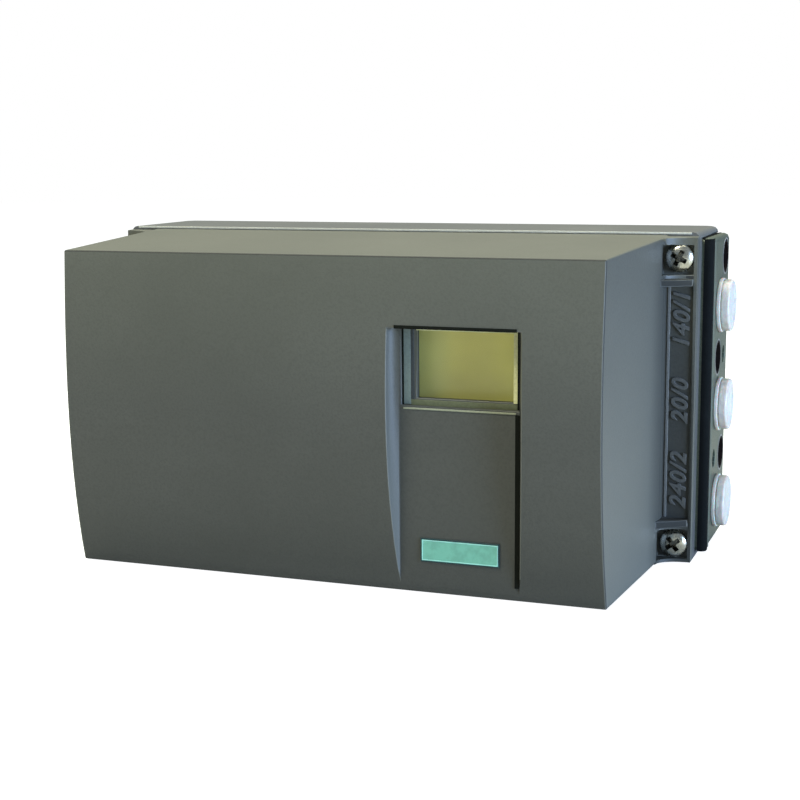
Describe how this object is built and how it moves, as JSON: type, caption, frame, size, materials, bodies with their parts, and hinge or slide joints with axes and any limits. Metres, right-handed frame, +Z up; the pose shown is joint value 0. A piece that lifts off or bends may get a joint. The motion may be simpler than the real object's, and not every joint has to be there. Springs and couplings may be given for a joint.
{
  "type": "valve positioner",
  "caption": "Electropneumatic valve positioner: flat case, belly-fronted cover with a window, terminal block with capped air ports, rear feedback shaft.",
  "frame": {"origin": "centre of the rear mounting face", "axes": "+X to the right seen from the front, +Y out of the rear face, +Z up"},
  "size_m": [0.1935, 0.115, 0.095],
  "materials": {
    "case_plastic": "finely textured",
    "anodised": "dark anodised",
    "steel": "satin",
    "brass": "turned",
    "rubber": "matt",
    "window": "clear",
    "display": "olive yellow",
    "plate": "teal enamel",
    "plug": "milky polyethylene",
    "yellow": "moulded",
    "gear": "moulded acetal",
    "board": "solder resist",
    "grey": "moulded",
    "sinter": "sintered"
  },
  "bodies": {
    "case": {"rear_housing": "case_plastic", "cover_gasket": "rubber", "terminal_block": "anodised", "block_gasket": "rubber", "shaft_bush": "sinter", "shaft_seal": "rubber", "gear_bracket": "steel", "potentiometer": "grey", "valve_manifold": "anodised", "main_board": "board", "module_case": "grey", "key_board": "board", "display_frame": "case_plastic", "display_glass": "display", "terminal_board": "board", "terminal_strip": "grey", "exhaust_silencer": "sinter", "earth_screw": "steel", "pilot_valve_1": "grey", "pilot_valve_2": "grey", "blanking_plug_1": "case_plastic", "blanking_plug_2": "case_plastic", "entry_seal_1": "rubber", "entry_seal_2": "rubber", "block_screw_1": "steel", "block_screw_2": "steel", "bracket_screw_1": "steel", "bracket_screw_2": "steel", "manifold_screw_1": "steel", "manifold_screw_2": "steel", "module_screw_1": "steel", "module_screw_2": "steel", "module_screw_3": "steel", "module_screw_4": "steel", "terminal_board_screw_1": "steel", "terminal_board_screw_2": "steel"},
    "cover": {"front_cover": "case_plastic", "window_seal": "rubber", "window_pane": "window", "bare_plate": "plate", "cover_screw_1": "steel", "cover_screw_2": "steel", "cover_screw_3": "steel", "cover_screw_4": "steel"},
    "shaft": {"feedback_shaft": "steel", "drive_gear": "gear", "shaft_circlip": "steel"},
    "pinion": {"pot_pinion": "gear", "clutch_wheel": "yellow"},
    "plug_1": {"port_plug_1": "plug"},
    "plug_2": {"port_plug_2": "plug"},
    "plug_3": {"port_plug_3": "plug"},
    "key_a": {"key_1": "yellow"},
    "key_b": {"key_2": "yellow"},
    "key_c": {"key_3": "yellow"},
    "restrictor_a": {"restrictor_1": "brass"},
    "restrictor_b": {"restrictor_2": "brass"},
    "purge": {"purge_selector": "yellow"}
  },
  "joints": [
    {"name": "cover_lift_off", "type": "slide", "parent": "case", "child": "cover", "axis": [0, -1, 0], "range_m": [0, 0.07]},
    {"name": "shaft_turn", "type": "hinge", "parent": "case", "child": "shaft", "pos_m": [0.016, 0, 0], "axis": [0, 1, 0], "range_deg": [-50, 50]},
    {"name": "pinion_turn", "type": "hinge", "parent": "case", "child": "pinion", "pos_m": [0.016, -0.015, 0.0288], "axis": [0, 1, 0], "range_deg": [-150, 150]},
    {"name": "plug_1_pull", "type": "slide", "parent": "case", "child": "plug_1", "axis": [1, 0, 0], "range_m": [0, 0.015]},
    {"name": "plug_2_pull", "type": "slide", "parent": "case", "child": "plug_2", "axis": [1, 0, 0], "range_m": [0, 0.015]},
    {"name": "plug_3_pull", "type": "slide", "parent": "case", "child": "plug_3", "axis": [1, 0, 0], "range_m": [0, 0.015]},
    {"name": "key_a_press", "type": "slide", "parent": "case", "child": "key_a", "axis": [0, 1, 0], "range_m": [0, 0.0012], "stiffness_N_per_m": 400, "springref_m": -0.0005},
    {"name": "key_b_press", "type": "slide", "parent": "case", "child": "key_b", "axis": [0, 1, 0], "range_m": [0, 0.0012], "stiffness_N_per_m": 400, "springref_m": -0.0005},
    {"name": "key_c_press", "type": "slide", "parent": "case", "child": "key_c", "axis": [0, 1, 0], "range_m": [0, 0.0012], "stiffness_N_per_m": 400, "springref_m": -0.0005},
    {"name": "restrictor_a_turn", "type": "hinge", "parent": "case", "child": "restrictor_a", "pos_m": [0.059, -0.031, -0.0185], "axis": [0, 1, 0], "range_deg": [-360, 360]},
    {"name": "restrictor_b_turn", "type": "hinge", "parent": "case", "child": "restrictor_b", "pos_m": [0.059, -0.031, -0.0265], "axis": [0, 1, 0], "range_deg": [-360, 360]},
    {"name": "purge_switch", "type": "slide", "parent": "case", "child": "purge", "axis": [1, 0, 0], "range_m": [0, 0.004]}
  ],
  "couplings": [
    {"joint": "pinion_turn", "follows": "shaft_turn", "ratio": -3}
  ]
}
